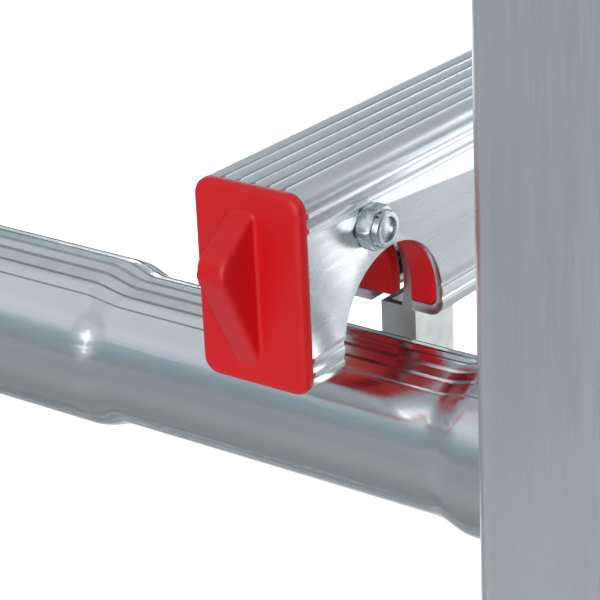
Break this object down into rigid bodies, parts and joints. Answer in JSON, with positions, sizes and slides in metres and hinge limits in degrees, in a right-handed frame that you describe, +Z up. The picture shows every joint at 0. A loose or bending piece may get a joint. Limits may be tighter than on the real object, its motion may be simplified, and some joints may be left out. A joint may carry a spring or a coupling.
{
  "type": "extension ladder",
  "caption": "Two-section aluminium extension ladder with ribbed rungs, sliding fly section, swinging rung hooks, swivel feet and a hook-on wall stand-off with latched notched arms.",
  "frame": {"origin": "on the ground, midway between the feet, in the plane of the fly section's rung axes", "axes": "+Z up along the stiles, +X to the climber's right, +Y towards the wall"},
  "size_m": [0.5116, 0.3652, 2.664],
  "materials": {
    "stile_aluminium": "extruded mill finish",
    "rung_aluminium": "bright drawn and swaged",
    "arm_aluminium": "extruded with fine lines",
    "guide_aluminium": "extruded mill finish",
    "red_plastic": "moulded, glossy",
    "dark_plastic": "moulded, fine texture",
    "galvanised_steel": "galvanised",
    "zinc_fasteners": "bright zinc plate",
    "black_rubber": "moulded rubber"
  },
  "bodies": {
    "base_section": {"base_stile_right": "stile_aluminium", "base_stile_left": "stile_aluminium", "base_rungs": "rung_aluminium", "base_top_cap_right": "dark_plastic", "base_top_cap_left": "dark_plastic", "upper_guide_right": "guide_aluminium", "upper_guide_left": "guide_aluminium", "upper_guide_rivets": "zinc_fasteners", "foot_bolt_right": "zinc_fasteners", "foot_bolt_left": "zinc_fasteners", "foot_nut_right": "zinc_fasteners", "foot_nut_left": "zinc_fasteners"},
    "fly_section": {"fly_stile_right": "stile_aluminium", "fly_stile_left": "stile_aluminium", "fly_rungs": "rung_aluminium", "fly_top_rung": "rung_aluminium", "fly_top_cap_right": "dark_plastic", "fly_top_cap_left": "dark_plastic", "fly_foot_cap_right": "dark_plastic", "fly_foot_cap_left": "dark_plastic", "lower_guide_right": "guide_aluminium", "lower_guide_left": "guide_aluminium", "lower_guide_rivets": "zinc_fasteners", "rung_hook_bracket_right": "galvanised_steel", "rung_hook_bracket_left": "galvanised_steel", "rung_hook_pin_right": "zinc_fasteners", "rung_hook_pin_left": "zinc_fasteners", "rung_hook_rivets": "zinc_fasteners"},
    "stand_off": {"arm_right": "arm_aluminium", "arm_left": "arm_aluminium", "end_plug_right": "red_plastic", "end_plug_left": "red_plastic", "saddle_right": "red_plastic", "saddle_left": "red_plastic", "latch_bolt_right": "zinc_fasteners", "latch_bolt_left": "zinc_fasteners", "latch_nut_right": "zinc_fasteners", "latch_nut_left": "zinc_fasteners", "wall_bar": "arm_aluminium", "wall_bar_caps": "red_plastic", "wall_bar_screws": "zinc_fasteners", "wall_buffer_right": "black_rubber", "wall_buffer_left": "black_rubber", "stay_leg_right": "arm_aluminium", "stay_leg_left": "arm_aluminium", "stay_bar": "arm_aluminium", "stay_pad_right": "black_rubber", "stay_pad_left": "black_rubber"},
    "rung_hook_right": {"rung_hook_right": "galvanised_steel"},
    "latch_right": {"latch_right": "galvanised_steel"},
    "foot_right": {"foot_shoe_right": "galvanised_steel", "foot_pad_right": "black_rubber"},
    "rung_hook_left": {"rung_hook_left": "galvanised_steel"},
    "latch_left": {"latch_left": "galvanised_steel"},
    "foot_left": {"foot_shoe_left": "galvanised_steel", "foot_pad_left": "black_rubber"}
  },
  "joints": [
    {"name": "fly_slide", "type": "slide", "parent": "base_section", "child": "fly_section", "axis": [0, 0, 1], "range_m": [0, 1.12]},
    {"name": "stand_off_lift", "type": "slide", "parent": "fly_section", "child": "stand_off", "axis": [0, 0, 1], "range_m": [-0.0204, 0]},
    {"name": "rung_hook_swing_right", "type": "hinge", "parent": "fly_section", "child": "rung_hook_right", "pos_m": [0.162, 0.018, 0.59], "axis": [1, 0, 0], "range_deg": [0, 110]},
    {"name": "latch_swing_right", "type": "hinge", "parent": "stand_off", "child": "latch_right", "pos_m": [0.1222, -0.0078, 2.5536], "axis": [1, 0, 0], "range_deg": [0, 25]},
    {"name": "foot_swivel_right", "type": "hinge", "parent": "base_section", "child": "foot_right", "pos_m": [0.228, 0.076, 0.058], "axis": [1, 0, 0], "range_deg": [-35, 35]},
    {"name": "rung_hook_swing_left", "type": "hinge", "parent": "fly_section", "child": "rung_hook_left", "pos_m": [-0.162, 0.018, 0.59], "axis": [1, 0, 0], "range_deg": [0, 110]},
    {"name": "latch_swing_left", "type": "hinge", "parent": "stand_off", "child": "latch_left", "pos_m": [-0.1222, -0.0078, 2.5536], "axis": [1, 0, 0], "range_deg": [0, 25]},
    {"name": "foot_swivel_left", "type": "hinge", "parent": "base_section", "child": "foot_left", "pos_m": [-0.228, 0.076, 0.058], "axis": [1, 0, 0], "range_deg": [-35, 35]}
  ]
}
